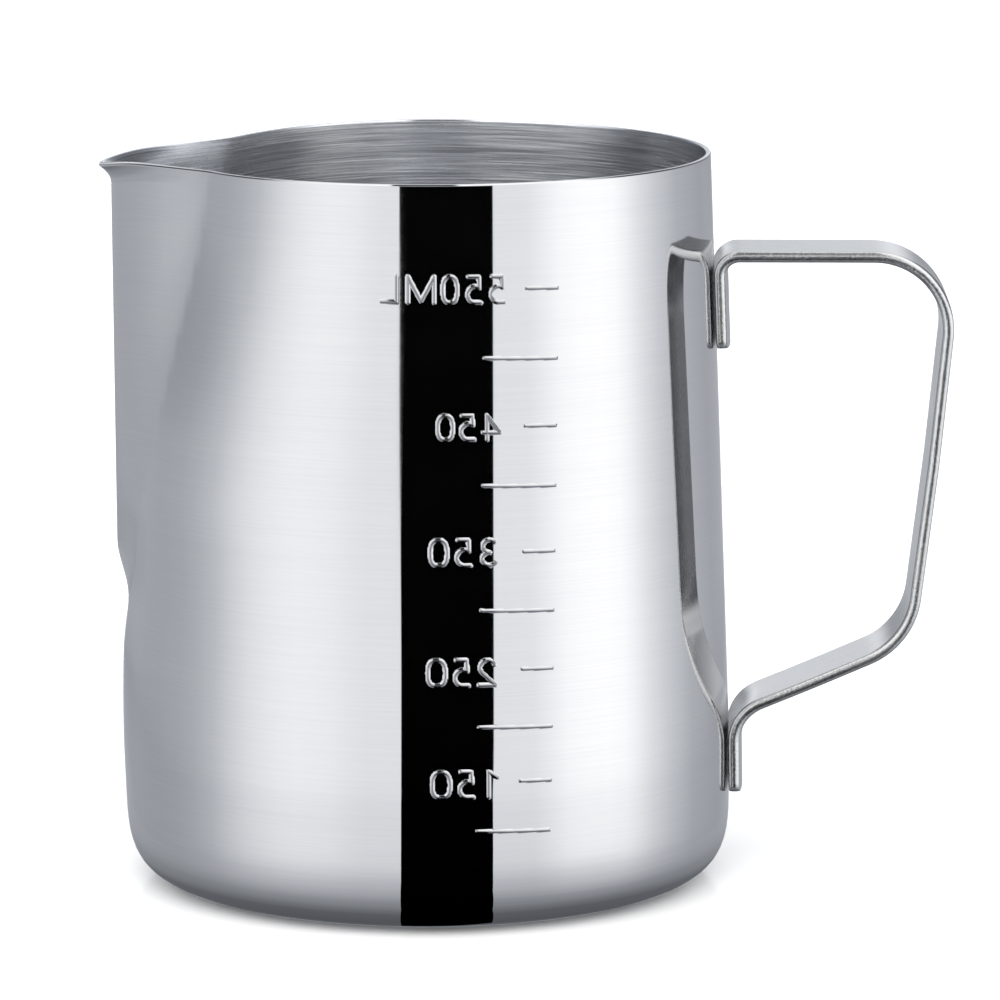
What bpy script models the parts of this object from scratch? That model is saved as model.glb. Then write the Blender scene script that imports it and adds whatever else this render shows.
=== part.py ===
"""Milk frothing jug: one drawn steel body with a pressed spout, and one bent strap handle spot-welded to it.

Metres, +Z up. The origin is on the body's axis, on the underside of the base. The spout points to -X and the
handle to +X. Every size below is the outside of the metal.
"""

import math

import bmesh
import bpy
from mathutils import Vector

# --- Body, the driving sizes
BODY_RADIUS = 0.0450  # the widest part of the wall
BODY_HEIGHT = 0.1085  # base to rim, on the handle side
SHEET = 0.0008  # drawn sheet
RIM_DRAFT = 0.00325  # how far the wall leans in by the time it reaches the rim
CORNER = 0.0132  # width and height of the rounded bottom corner
CORNER_SQUARENESS = 3.4  # 2 is a plain quarter circle, more is squarer
RIM_ROUNDING = 0.00022  # softened edge of the cut rim

# --- Spout, the driving sizes
SPOUT_REACH = 0.00175  # how far the ridge stands outside the widest part of the wall, at the rim
RIDGE_LEAN = 0.0004  # how far the ridge leans in from the rim down to its root
FLANK_DRAW = 0.0050  # how far the wall beside the spout is drawn in at the rim
SPOUT_HALF_ANGLE = math.radians(36)  # from the ridge to the foot of a flank, at the rim
ROOT_HALF_ANGLE = math.radians(6)  # the same at the root
NOSE_SOFTNESS = 0.12  # rounding of the ridge, as a share of the half angle
LIP_FLARE = 0.0021  # how far the pouring lip turns out
LIP_DEPTH = 0.0027  # height over which it turns out
RIM_DIP = 0.0009  # how far the rim falls on its way round to the spout
TIP_DIP = 0.0012  # how far it falls again at the tip of the lip
ROOT_SWELL = 0.0010  # the slight swelling of the wall just below the spout's root

# --- Handle, the driving sizes
STRAP_WIDTH = 0.0144
STRAP_THICKNESS = 0.0017
STRAP_EDGE_ROUNDING = 0.0005
HANDLE_REACH = 0.0328  # from the widest part of the wall out to the middle of the strap's far corner
TAB_CORNER = 0.0012  # rounded corners of the two tab ends
WELD_GAP = 0.0003  # clearance between the tabs and the wall

# --- Derived sizes
SPOUT_ROOT_LOW = 0.370 * BODY_HEIGHT
SPOUT_ROOT_HIGH = 0.461 * BODY_HEIGHT
TAPER_START = 0.193 * BODY_HEIGHT
TAPER_SOFTNESS = 0.037 * BODY_HEIGHT
ARM_HEIGHT = 0.8632 * BODY_HEIGHT  # middle of the strap's level top arm
UPPER_TAB_END = 0.7370 * BODY_HEIGHT
LOWER_CORNER_HEIGHT = 0.3336 * BODY_HEIGHT
LOWER_BEND_HEIGHT = 0.2316 * BODY_HEIGHT
LOWER_TAB_END = 1.01 * CORNER
GRIP_KNEE_HEIGHT = 0.5768 * BODY_HEIGHT
GRIP_KNEE_REACH = 0.906 * HANDLE_REACH
LOWER_CORNER_REACH = 0.808 * HANDLE_REACH
WALL_TO_STRAP = WELD_GAP + STRAP_THICKNESS / 2
UPPER_TAB_BEND = 1.05 * STRAP_THICKNESS + 0.0010  # bend radii along the middle of the strap
TOP_BEND = 0.333 * HANDLE_REACH
GRIP_BEND = 1.8 * HANDLE_REACH
LOWER_BEND = 0.350 * HANDLE_REACH
LOWER_TAB_BEND = 1.05 * STRAP_THICKNESS + 0.0045


def smooth(share):
    """0 to 1 with level ends."""
    share = min(1.0, max(0.0, share))
    return share * share * (3 - 2 * share)


def between(value, low, high):
    return smooth((value - low) / (high - low))


# --- The body's outer skin, as a radius for each height and angle. The angle runs from the spout, 0, to the handle, pi.


def taper(height):
    """How far the wall has leaned in at this height: none below the start, then a steady draft."""

    def run(level):
        past = level - TAPER_START
        return (math.hypot(past, TAPER_SOFTNESS) + past) / 2

    return RIM_DRAFT * (run(height) - run(CORNER)) / (run(BODY_HEIGHT) - run(CORNER))


def wall_radius(height):
    """The round wall, with no spout."""
    if height >= CORNER:
        return BODY_RADIUS - taper(height)
    rise = 1 - max(0.0, height) / CORNER
    return BODY_RADIUS - CORNER + CORNER * (1 - rise**CORNER_SQUARENESS) ** (1 / CORNER_SQUARENESS)


def rim_height(angle):
    dip = RIM_DIP * max(0.0, math.cos(angle)) ** 2
    return BODY_HEIGHT - dip - TIP_DIP * math.exp(-((angle / math.radians(9)) ** 2))


def spout_reach(height):
    """How far the spout's ridge stands out from the round wall."""
    up = (height - SPOUT_ROOT_LOW) / (BODY_HEIGHT - SPOUT_ROOT_LOW)
    ridge = BODY_RADIUS + SPOUT_REACH - RIDGE_LEAN * (1 - up)
    return (ridge - wall_radius(height)) * between(height, SPOUT_ROOT_LOW, SPOUT_ROOT_HIGH)


def skin_radius(height, angle):
    radius = wall_radius(height)
    turned = abs(angle)
    draw = FLANK_DRAW * between(height, 0.50 * BODY_HEIGHT, BODY_HEIGHT)
    radius -= draw * smooth((math.radians(90) - turned) / math.radians(70))
    up = max(0.0, (height - SPOUT_ROOT_LOW) / (BODY_HEIGHT - SPOUT_ROOT_LOW))
    half_angle = ROOT_HALF_ANGLE + (SPOUT_HALF_ANGLE - ROOT_HALF_ANGLE) * up**0.7
    aside = math.hypot(turned / half_angle, NOSE_SOFTNESS) - NOSE_SOFTNESS
    full = math.hypot(1, NOSE_SOFTNESS) - NOSE_SOFTNESS
    radius += (spout_reach(height) + draw) * max(0.0, 1 - aside / full) ** 1.4
    swell = smooth(height / (0.31 * BODY_HEIGHT)) * (1 - between(height, 0.31 * BODY_HEIGHT, 0.44 * BODY_HEIGHT))
    radius += ROOT_SWELL * swell * smooth(1 - turned / math.radians(40))
    left = (rim_height(angle) - height) / LIP_DEPTH
    if left < 1:
        radius += LIP_FLARE * (1 - left) ** 2 * math.exp(-((angle / math.radians(15)) ** 2))
    return radius


def skin_point(height, angle):
    radius = skin_radius(height, angle)
    return Vector((-radius * math.cos(angle), radius * math.sin(angle), height))


# --- Helpers


def steel(name, roughness):
    material = bpy.data.materials.new(name)
    material.use_nodes = True
    shader = material.node_tree.nodes["Principled BSDF"]
    shader.inputs["Base Color"].default_value = (0.60, 0.61, 0.62, 1)
    shader.inputs["Metallic"].default_value = 1
    shader.inputs["Roughness"].default_value = roughness
    return material


def add_object(name, mesh, material, collection):
    mesh.materials.append(material)
    mesh.shade_smooth()
    mesh.set_sharp_from_angle(angle=math.radians(40))
    obj = bpy.data.objects.new(name, mesh)
    collection.objects.link(obj)
    return obj


def grid_mesh(name, rows, pole=None):
    """Quads between rows of points, outwards, closed to a pole below the first row if there is one."""
    mesh = bpy.data.meshes.new(name)
    build = bmesh.new()
    made = [[build.verts.new(point) for point in row] for row in rows]
    for lower, upper in zip(made[:-1], made[1:]):
        for k in range(len(lower) - 1):
            build.faces.new((lower[k], upper[k], upper[k + 1], lower[k + 1]))
    if pole is not None:
        centre = build.verts.new(pole)
        for first, second in zip(made[0][:-1], made[0][1:]):
            build.faces.new((centre, first, second))
    build.to_mesh(mesh)
    build.free()
    return mesh


# --- Body


def body_angles():
    """Columns of the half skin, closest together on the spout."""
    near = [math.radians(2.4 * k) for k in range(6)]
    middle = [math.radians(12 + 4 * k) for k in range(1, 9)]
    far = [math.radians(44 + 136 * k / 22) for k in range(1, 23)]
    return near[:-1] + [math.radians(12)] + middle + far


def body_heights():
    """Rows of the wall as (share of the way up, share in the lip), closest together at the spout's root and at the lip."""
    low = [CORNER + (SPOUT_ROOT_LOW - 0.006 - CORNER) * k / 3 for k in range(4)]
    root = [SPOUT_ROOT_LOW - 0.006 + (SPOUT_ROOT_HIGH + 0.001 - SPOUT_ROOT_LOW + 0.006) * k / 7 for k in range(1, 8)]
    top = BODY_HEIGHT - RIM_DIP - TIP_DIP - 1.2 * LIP_DEPTH
    high = [root[-1] + (top - root[-1]) * k / 5 for k in range(1, 6)]
    return low + root + high


def build_body(collection):
    angles = body_angles()
    flat = BODY_RADIUS - CORNER
    rows = [[Vector((-flat * share * math.cos(a), flat * share * math.sin(a), 0)) for a in angles] for share in (0.5, 1)]
    for k in range(1, 9):
        turn = math.radians(90) * k / 9
        height = CORNER * (1 - math.cos(turn) ** (2 / CORNER_SQUARENESS))
        rows.append([skin_point(height, a) for a in angles])
    heights = body_heights()
    for height in heights:
        rows.append([skin_point(height, a) for a in angles])
    for share in (0.25, 0.5, 0.7, 0.85, 1):
        rows.append([skin_point(heights[-1] + (rim_height(a) - heights[-1]) * share, a) for a in angles])
    for row in rows:
        row[0].y = 0
        row[-1].y = 0
    mesh = grid_mesh("jug_body", rows, pole=(0, 0, 0))
    obj = add_object("jug_body", mesh, steel("brushed drawn steel", 0.30), collection)
    mirror = obj.modifiers.new("Both sides", "MIRROR")
    mirror.use_axis = (False, True, False)
    mirror.merge_threshold = 0.0001
    shell = obj.modifiers.new("Sheet", "SOLIDIFY")
    shell.thickness = SHEET
    shell.offset = -1
    shell.use_even_offset = True
    edge = obj.modifiers.new("Rim edge", "BEVEL")
    edge.width = RIM_ROUNDING
    edge.segments = 1
    edge.limit_method = "ANGLE"
    edge.angle_limit = math.radians(60)
    return obj


# --- Handle


def filleted(corners, radii):
    """Points of a path with every corner turned to an arc, and how far along the path each one is."""
    points = [corners[0]]
    for before, corner, after, radius in zip(corners[:-2], corners[1:-1], corners[2:], radii):
        back = (before - corner).normalized()
        on = (after - corner).normalized()
        half = back.angle(on) / 2
        centre = corner + (back + on).normalized() * (radius / math.sin(half))
        start = corner + back * (radius / math.tan(half)) - centre
        finish = corner + on * (radius / math.tan(half)) - centre
        turned = start.angle(finish)
        steps = max(4, round(math.degrees(turned) / 9))
        for k in range(steps + 1):
            share = k / steps
            arm = (start * math.sin((1 - share) * turned) + finish * math.sin(share * turned)) / math.sin(turned)
            points.append(centre + arm)
    points.append(corners[-1])
    return points


def lengths_along(points):
    along = [0.0]
    for first, second in zip(points[:-1], points[1:]):
        along.append(along[-1] + (second - first).length)
    return along


def split_long(points, longest):
    made = [points[0]]
    for first, second in zip(points[:-1], points[1:]):
        steps = max(1, math.ceil((second - first).length / longest))
        made += [first.lerp(second, k / steps) for k in range(1, steps + 1)]
    return made


def tab_x(height):
    return wall_radius(height) + WALL_TO_STRAP


def build_handle(collection):
    """A strip that follows the strap's middle, curled round the wall on the two tabs, then given its thickness."""
    corners = [
        (tab_x(UPPER_TAB_END), UPPER_TAB_END),
        (tab_x(ARM_HEIGHT), ARM_HEIGHT),
        (BODY_RADIUS + HANDLE_REACH, ARM_HEIGHT),
        (BODY_RADIUS + GRIP_KNEE_REACH, GRIP_KNEE_HEIGHT),
        (BODY_RADIUS + LOWER_CORNER_REACH, LOWER_CORNER_HEIGHT),
        (tab_x(LOWER_BEND_HEIGHT), LOWER_BEND_HEIGHT),
        (tab_x(LOWER_TAB_END), LOWER_TAB_END),
    ]
    corners = [Vector((x, 0, z)) for x, z in corners]
    bends = (UPPER_TAB_BEND, TOP_BEND, GRIP_BEND, LOWER_BEND, LOWER_TAB_BEND)
    path = split_long(filleted(corners, bends), 0.007)
    along = lengths_along(path)
    half = STRAP_WIDTH / 2
    inner = half - TAB_CORNER
    sides = [-half, -half + 0.25 * TAB_CORNER] + [inner * k / 3 for k in range(-3, 4)] + [half - 0.25 * TAB_CORNER, half]
    rows = []
    for k, (middle, run) in enumerate(zip(path, along)):
        left = along[-1] - run
        down = (path[min(k + 1, len(path) - 1)] - path[max(k - 1, 0)]).normalized()
        curl = 1 - between(min(run, left), ARM_HEIGHT - UPPER_TAB_END - 0.004, ARM_HEIGHT - UPPER_TAB_END + 0.012)
        row = []
        for side in sides:
            past = max(0.0, abs(side) - inner)
            trim = TAB_CORNER - math.sqrt(max(0.0, TAB_CORNER**2 - past**2))
            fade_start = max(0.0, 1 - run / (3 * TAB_CORNER))
            fade_end = max(0.0, 1 - left / (3 * TAB_CORNER))
            point = middle + down * trim * (fade_start - fade_end)
            point.x -= curl * (middle.x - math.sqrt(middle.x**2 - side**2))
            point.y = side
            row.append(point)
        rows.append(row)
    mesh = grid_mesh("handle", rows)
    obj = add_object("handle", mesh, steel("polished strap steel", 0.22), collection)
    strap = obj.modifiers.new("Strap", "SOLIDIFY")
    strap.thickness = STRAP_THICKNESS
    strap.offset = 0
    strap.use_even_offset = True
    edge = obj.modifiers.new("Strap edges", "BEVEL")
    edge.width = STRAP_EDGE_ROUNDING
    edge.segments = 2
    edge.limit_method = "ANGLE"
    edge.angle_limit = math.radians(60)
    return obj


def main():
    for obj in list(bpy.data.objects):
        bpy.data.objects.remove(obj)
    collection = bpy.data.collections.new("milk_frothing_jug")
    bpy.context.scene.collection.children.link(collection)
    build_body(collection)
    build_handle(collection)


main()
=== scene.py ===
"""Milk frothing jug, the visual model: a drawn steel body with a stamped scale, and a bent strap handle.

Metres, +Z up, the origin on the body's axis at the underside of the base. The spout points to -X and the
handle to +X. Run as a script it registers the panel and builds every piece and the studio in order.
"""

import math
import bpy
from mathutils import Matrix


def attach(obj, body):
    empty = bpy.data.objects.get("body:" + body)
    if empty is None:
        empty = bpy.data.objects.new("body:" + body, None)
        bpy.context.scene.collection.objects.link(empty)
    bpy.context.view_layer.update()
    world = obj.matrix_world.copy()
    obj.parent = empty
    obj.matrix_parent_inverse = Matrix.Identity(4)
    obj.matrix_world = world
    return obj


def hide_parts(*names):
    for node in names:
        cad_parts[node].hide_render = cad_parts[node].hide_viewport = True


bl_info = {
    "name": "Milk Frothing Jug",
    "version": (1, 0, 0),
    "blender": (4, 5, 0),
    "location": "3D View > Sidebar > Jug",
    "description": "Builds a steel milk frothing jug and a plain studio round it",
    "category": "Add Mesh",
}

from functools import partial

import bpy
import numpy as np
from mathutils import Vector

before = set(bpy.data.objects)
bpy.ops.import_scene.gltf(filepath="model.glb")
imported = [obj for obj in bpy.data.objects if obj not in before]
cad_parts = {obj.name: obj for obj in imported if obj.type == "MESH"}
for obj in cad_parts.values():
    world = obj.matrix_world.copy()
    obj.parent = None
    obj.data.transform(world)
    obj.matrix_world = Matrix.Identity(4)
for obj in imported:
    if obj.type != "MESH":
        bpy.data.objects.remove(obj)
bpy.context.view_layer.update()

MM = 0.001

# --- Shape of the body that isn't on the panel. Levels are shares of the body's height.
CORNER_SQUARENESS = 3.4  # 2 is a plain quarter circle, more is squarer
CORNER_CROWDING = 1.7  # rows of the corner draw apart in its middle and together at its ends
DRAFT_LEVEL = 0.193  # where the wall starts to lean in
DRAFT_SOFTNESS = 0.037  # how gently it does
ROOT_LOW, ROOT_HIGH = 0.370, 0.461  # the spout's ridge comes up between these
SPOUT_HALF_ANGLE = math.radians(36)  # from the ridge to the foot of a flank, at the rim
ROOT_HALF_ANGLE = math.radians(6)  # the same at the root
SPOUT_WIDENING = 0.7  # below 1 the spout widens most near its root
FLANK_HOLLOW = 1.4  # above 1 the flanks are hollow
NOSE_SOFTNESS = 0.12  # rounding of the ridge, as a share of the half angle
SPOUT_REACH = 0.00175  # how far the ridge stands outside the widest part of the wall, at the rim
RIDGE_LEAN = 0.0004  # and how much less that is at the root
FLANK_DRAW = 0.0050  # how far the wall beside the spout is drawn in at the rim
DRAW_LEVEL = 0.50  # where that drawing in starts
DRAW_ANGLE = math.radians(90)  # it starts this far from the ridge
DRAW_FADE = math.radians(70)  # and is full this much nearer
LIP_FLARE = 0.0021  # how far the lip turns out
LIP_DEPTH = 0.0027  # over this height
LIP_ANGLE = math.radians(15)
RIM_DIP = 0.0009  # how much lower the rim is at the spout
TIP_DIP = 0.0012  # and how much more at its very tip
TIP_ANGLE = math.radians(9)
ROOT_SWELL = 0.0010  # the wall swells this much under the root
SWELL_LEVEL, SWELL_END = 0.31, 0.44  # where that is fullest and where it ends
SWELL_ANGLE = math.radians(40)  # how far it runs round each way
RIM_EDGE = 0.0003  # rounding of the cut rim

# --- Stamped scale, in millimetres: level marks for 100 to 550 millilitres in steps of 50
MARK_HEIGHTS = (15.4, 22.7, 30.5, 38.9, 47.3, 55.8, 65.2, 73.8, 83.4, 93.4)
MARK_RISE = 0.19  # how far a mark's middle stands over its height
MARK_SLOPE, MARK_PIVOT = 0.04, 15.0  # marks run down a little to the right, turned about here
MARK_END = (19.4, 2.5)  # right end of the lowest mark, and how much further right the highest ends
LONG_MARK = (11.35, 0.7)  # length of the lowest one, and how much longer the highest is
SHORT_MARK = (5.1, 0.5)
MARK_BEAD = (0.28, 0.15)  # half width and height of a mark's bead
TEXT_BEAD = (0.32, 0.2)
TEXT_SLOPE, TEXT_PIVOT = 0.012, 5.0
END_INSET = 0.3  # a mark's bead ends round, so its line stops this much short
GLYPH_HEIGHT = 3.65  # all glyph sizes are along the middle of the bead
# For each numbered mark: where its text starts, how far that stands over the mark, its height as a share, the
# width of its 0 and the gaps between its characters
TEXT_LINES = {
    1: (11.3, 0.02, 1.0, 2.55, (2.2, 1.35)),
    3: (11.1, -0.03, 1.0, 2.55, (1.5, 1.35)),
    5: (11.3, 0.33, 1.0, 2.45, (1.7, 1.4)),
    7: (12.1, 0.2, 0.93, 2.2, (1.3, 1.2)),
    9: (12.95, 0.2, 1.0, 2.15, (1.6, 1.55, 1.3, 1.75)),
}
BEAD_ROUND = 0.2  # rounding of a bead's crest, as a share of its half width
SCALE_LEFT, SCALE_RIGHT = -9.0, 25.0  # the whole scale lies between these
CUT_MARGIN = 1.02  # cells this near a bead are cut fine as well
SPLIT = 10  # a cell of the body that carries a mark is cut into this many by this many

# --- The strap's line. Levels are shares of the body's height, places out are shares of the handle's reach.
UPPER_TAB_END = 0.7370
ARM_LEVEL = 0.8632
KNEE_OUT, KNEE_LEVEL = 0.906, 0.5768
LOWER_CORNER_OUT, LOWER_CORNER_LEVEL = 0.808, 0.3336
LOWER_BEND_LEVEL = 0.2316
LOWER_TAB_END = 1.01  # as a share of the body's corner
CURL_START, CURL_END = -0.004, 0.012  # the tabs' curl fades out between these, from the end of the upper tab
# Inputs of the strap's node tree and their defaults
STRAP_INPUTS = (
    ("Width", 0.0144),
    ("Thickness", 0.0017),
    ("Edge Rounding", 0.0007),
    ("End Rounding", 0.0002),
    ("Tab Corner", 0.0012),
    ("Curl Start", 0.01),
    ("Curl End", 0.025),
    ("Weld Upper", 0.086),
    ("Weld Lower", 0.0175),
    ("Weld Radius", 0.0016),
    ("Weld Depth", 0.00022),
)

# --- What the steel sees, by the angle of the wall that mirrors it: sideways from straight ahead, or up
# Brightness of the white tents round the jug, as greys
TENTS = (
    (-90, "8A"), (-80, "8C"), (-70, "9A"), (-61, "9D"), (-55, "A2"), (-50, "AB"), (-45, "B9"), (-40.7, "CB"),
    (-36.6, "DA"), (-32.8, "E3"), (-29, "E9"), (-25.5, "EB"), (-22, "EA"), (-18.7, "E8"), (-15.4, "E3"),
    (-12, "DF"), (-6, "DE"), (13.5, "DE"), (20, "E0"), (23.6, "EB"), (27, "F6"), (31, "FB"), (36, "FD"),
    (40, "FA"), (43, "F0"), (47, "DD"), (52, "C8"), (60, "AC"), (72, "98"), (90, "90"),
)
# The left tent stands this share wider for a wall that tilts up
TENT_PULL = ((1.5, 0), (4, 0.05), (90, 0.05))
# How the light falls off and evens out towards the floor, for a wall that tilts down
FLOOR_FALL = (
    (-90, 0.18), (-60, 0.13), (-38, 0.18), (-20, 0.40), (-6, 0.70), (-3.3, 0.82), (-1.6, 0.90), (0.5, 1),
    (90, 1),
)
FLOOR_EVEN = ((-30, 1), (-20, 0.66), (-8, 0.34), (-1.5, 0))
FLOOR_GREY = 0.78
# The black flag: how far its edges stand to the left and right in degrees, and where it ends up and down
FLAG_LEFT = ((-90, 5.2), (1.6, 5.2), (2.2, 5.45), (2.7, 6.2), (3.4, 7.3), (5, 7.6), (90, 7.6))
FLAG_RIGHT = ((-90, 12.05), (0, 12.05), (4, 13.2), (90, 13.2))
FLAG_REACH = ((-26, 0), (-18, 1), (6, 1), (8, 0))
FLAG_SOFTNESS = math.radians(0.12)
# Overhead: white ahead and dim to the sides, a dark hatch, the top, and where the tents give way to it all
CROWN = (
    (-90, 0.25), (-62, 0.12), (-54, 0.05), (-47, 0.08), (-40, 0.6), (-33, 0.9), (-20, 1), (32, 1), (37, 0.5),
    (42, 0.08), (52, 0.04), (64, 0.12), (90, 0.25),
)
HATCH_WIDTH = ((-90, 0), (-10.1, 0), (-9, 1), (5.4, 1), (6.5, 0), (90, 0))
HATCH_REACH = ((5.5, 0), (7, 1), (50, 1), (58, 0))
ZENITH = ((40, 0.95), (60, 0.75), (75, 0.5), (90, 0.42))
ZENITH_START = ((50, 0), (66, 1))
SKY_START = ((8, 0), (19, 1))
BEHIND_GREY = 0.42  # what lies straight behind the jug, where a wall is seen edge on
LESS_RED, MORE_BLUE = 0.063, 0.109  # how much cooler the shadows are
# Light for all but the steel, as (place, strength): weak from behind the jug, full from the viewer's side
KEY = ((0, 0.34), (0.5, 0.4), (0.8, 1), (1, 1))

# --- Studio, in metres unless said
FLOOR_SIZE, FLOOR_DROP = 3.0, 0.00002
# A black sheet round the foot, seen only in the steel: painted shade for the floor's contact shadow
SHADE_SHEET_RADIUS, SHADE_SHEET_SIDES, SHADE_SHEET_DROP = 0.4, 96, 0.0006
FOOT_RADIUS = 0.045  # the painted floor shade is thickest up to here
SHADE_SHEET_OPACITY, SHADE_SHEET_REACH, SHADE_SHEET_END = 0.26, 0.010, 0.30  # thickest, half as thick and gone this far past it
# Outline of the black card that lies before the jug, in millimetres
CARD_OUTLINE = (
    (-2.8, -38), (-3.2, -45.4), (-6.1, -67), (-18.6, -151.7), (56.5, -138.6), (25.3, -73.8), (15.9, -53.6),
    (11.7, -43.4), (10.4, -38),
)
CARD_DROP = 0.0003
LENS, SENSOR = 221.01, 36  # millimetres
CAMERA_PLACE = (0.02827, -0.899556, 0.213478)
CAMERA_TURN = (80.0847, 0, 1.12)  # degrees


def rgb(code):
    """An sRGB hex colour as linear red, green, blue, alpha."""
    values = [int(code[k : k + 2], 16) / 255 for k in (0, 2, 4)]
    return tuple(v / 12.92 if v <= 0.04045 else ((v + 0.055) / 1.055) ** 2.4 for v in values) + (1.0,)


def smooth(share):
    """0 to 1 with level ends."""
    share = np.clip(share, 0.0, 1.0)
    return share * share * (3 - 2 * share)


def between(value, low, high):
    return smooth((value - low) / (high - low))


def by_angle(pairs, scale=1.0):
    """(degrees, value) pairs over -90 to 90 degrees as stops of a Color Ramp."""
    return [((degrees + 90) / 180, value * scale) for degrees, value in pairs]


# --- Objects and nodes


def add_object(name, mesh):
    obj = bpy.data.objects.new(name, mesh)
    bpy.context.scene.collection.objects.link(obj)
    return obj


def add_node(tree, kind, *inputs, settings=(), stops=(), **named):
    """A node of this kind, which may leave out ShaderNode and carry an operation after a colon. Inputs come
    in order or by name, each a plain value, a socket, or a node whose first output is meant. Stops are the
    (place, grey) pairs of a Color Ramp."""
    kind, _, operation = kind.partition(":")
    node = tree.nodes.new(kind if "Node" in kind else "ShaderNode" + kind)
    if operation:
        node.operation = operation
    for name, value in dict(settings).items():
        setattr(node, name, value)
    if stops:
        elements = node.color_ramp.elements
        while len(elements) < len(stops):
            elements.new(0.5)
        for element, (place, grey) in zip(elements, stops):
            element.position = place
            element.color = (grey, grey, grey, 1)
    by_name = {name.replace("_", " "): value for name, value in named.items()}
    for key, value in [*enumerate(inputs), *by_name.items()]:
        if isinstance(value, bpy.types.Node):
            value = value.outputs[0]
        if isinstance(value, bpy.types.NodeSocket):
            tree.links.new(value, node.inputs[key])
        else:
            node.inputs[key].default_value = value
    return node


def empty_tree(owner):
    """What adds nodes to a material or a world whose own nodes are gone."""
    owner.use_nodes = True
    owner.node_tree.nodes.clear()
    return partial(add_node, owner.node_tree)


# --- Materials


def brushed_steel(name, roughness, anisotropy, depth, spread, dull, bright):
    """Stainless sheet, brushed while it turned: the lines run round the jug, so light spreads up and down but
    not sideways, and upright edges in a reflection stay crisp. The stamped marks are rougher, and a darker
    grey is painted on them as shade for their beads."""
    material = bpy.data.materials.new(name)
    node = empty_tree(material)
    place = node("TexCoord").outputs
    around = node("SeparateXYZ", place["Object"]).outputs
    along = node("SeparateXYZ", place["UV"]).outputs

    def lines(stretch, pitch):
        """Lines this many metres apart, that change this many times in a metre along their run."""
        x = node("Math:MULTIPLY", around[0], stretch)
        y = node("Math:MULTIPLY", around[1], stretch)
        z = node("Math:MULTIPLY", along[1], 1 / pitch)
        return node("TexNoise", Vector=node("CombineXYZ", x, y, z), Scale=1.0, Detail=2.0, Roughness=0.6)

    # Single brush lines of 0.22 mm, coarser than real ones so that they show, and brush passes of 3.5 mm
    fine, coarse = lines(60, 0.22 * MM), lines(9, 3.5 * MM)
    both = node("Math:ADD", node("Math:MULTIPLY", fine, 0.7), node("Math:MULTIPLY", coarse, 0.3))
    shade = node("MapRange", both, 0.34, 0.66)
    colours = {"data_type": "RGBA"}
    tint = node("Mix", settings=colours, Factor=shade, A=dull, B=bright).outputs["Result"]
    stamped = node("Attribute", settings={"attribute_name": "stamped"}).outputs["Fac"]
    # Painted shade: the stamped beads get a darker grey that stands in for the shade on their flanks
    stamped_painted_shade = node("Mix", settings=colours, Factor=stamped, A=tint, B=rgb("8E8E92")).outputs["Result"]
    rough = node("MapRange", both, 0.3, 0.7, roughness - spread, roughness + spread)
    shader = node(
        "BsdfPrincipled",
        Base_Color=stamped_painted_shade,
        Metallic=1.0,
        Roughness=node("Math:ADD", rough, node("Math:MULTIPLY", stamped, 0.20)),
        Normal=node("Bump", Height=both, Strength=1.0, Distance=depth),
        Anisotropic=anisotropy,
        Anisotropic_Rotation=0.25,
        Tangent=node("Tangent", settings={"direction_type": "UV_MAP", "uv_map": "UVMap"}),
    )
    node("OutputMaterial", Surface=shader)
    return material


def strap_steel(bright):
    """Stainless strip, rolled and polished: soft, even reflections with faint drawing lines along the strap,
    and a grainy glint on its sheared edges."""
    material = bpy.data.materials.new("stainless strip, polished")
    node = empty_tree(material)
    run = node("Attribute", settings={"attribute_name": "run"}).outputs["Fac"]
    side = node("Attribute", settings={"attribute_name": "side"}).outputs["Fac"]
    place = node("TexCoord").outputs["Object"]
    at = node("CombineXYZ", node("Math:MULTIPLY", run, 60), node("Math:MULTIPLY", side, 3000))
    drawn = node("TexNoise", Vector=at, Scale=1.0, Detail=3.0, Roughness=0.6)  # lines 0.3 mm apart
    wear = node("TexNoise", Vector=place, Scale=160.0, Detail=4.0)  # patches of 6 mm
    pits = node("TexNoise", Vector=place, Scale=2600.0, Detail=2.0)  # grains of 0.4 mm, coarse enough to show
    colours = {"data_type": "RGBA"}
    tint = node("Mix", settings=colours, Factor=wear, A=rgb("C6C6C7"), B=bright).outputs["Result"]
    both = node("Math:ADD", node("Math:MULTIPLY", drawn, 0.6), node("Math:MULTIPLY", wear, 0.4))
    # The sheared edges are grainier than the rolled faces, which end 6.2 mm from the middle line
    sheared = node("MapRange", node("Math:ABSOLUTE", side), 6.2 * MM, 6.9 * MM, 0.06, 1.0)
    uneven = node("Math:ADD", node("Math:MULTIPLY", drawn, 0.06), node("Math:MULTIPLY", pits, sheared))
    shader = node(
        "BsdfPrincipled",
        Base_Color=tint,
        Metallic=1.0,
        Roughness=node("MapRange", both, 0.3, 0.7, 0.19, 0.31),
        Normal=node("Bump", Height=uneven, Strength=1.0, Distance=0.00004),
    )
    node("OutputMaterial", Surface=shader)
    return material


def floor_material():
    """White acrylic sheet, satin: bright and plain, with a faint gloss."""
    material = bpy.data.materials.new("white acrylic, satin")
    node = empty_tree(material)
    mottle = node("TexNoise", Vector=node("TexCoord").outputs["Object"], Scale=14.0, Detail=3.0)
    colours = {"data_type": "RGBA"}
    tint = node("Mix", settings=colours, Factor=mottle, A=rgb("F0F0F0"), B=rgb("F3F3F3")).outputs["Result"]
    shader = node("BsdfPrincipled", Base_Color=tint, Roughness=0.12, Specular_IOR_Level=0.25)
    node("OutputMaterial", Surface=shader)
    return material


def card_material():
    """Black card, matt: it gives no light back, so the steel shows it plain black."""
    material = bpy.data.materials.new("black card")
    node = empty_tree(material)
    node("OutputMaterial", Surface=node("Emission", Color=(0, 0, 0, 1), Strength=0.0))
    return material


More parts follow.
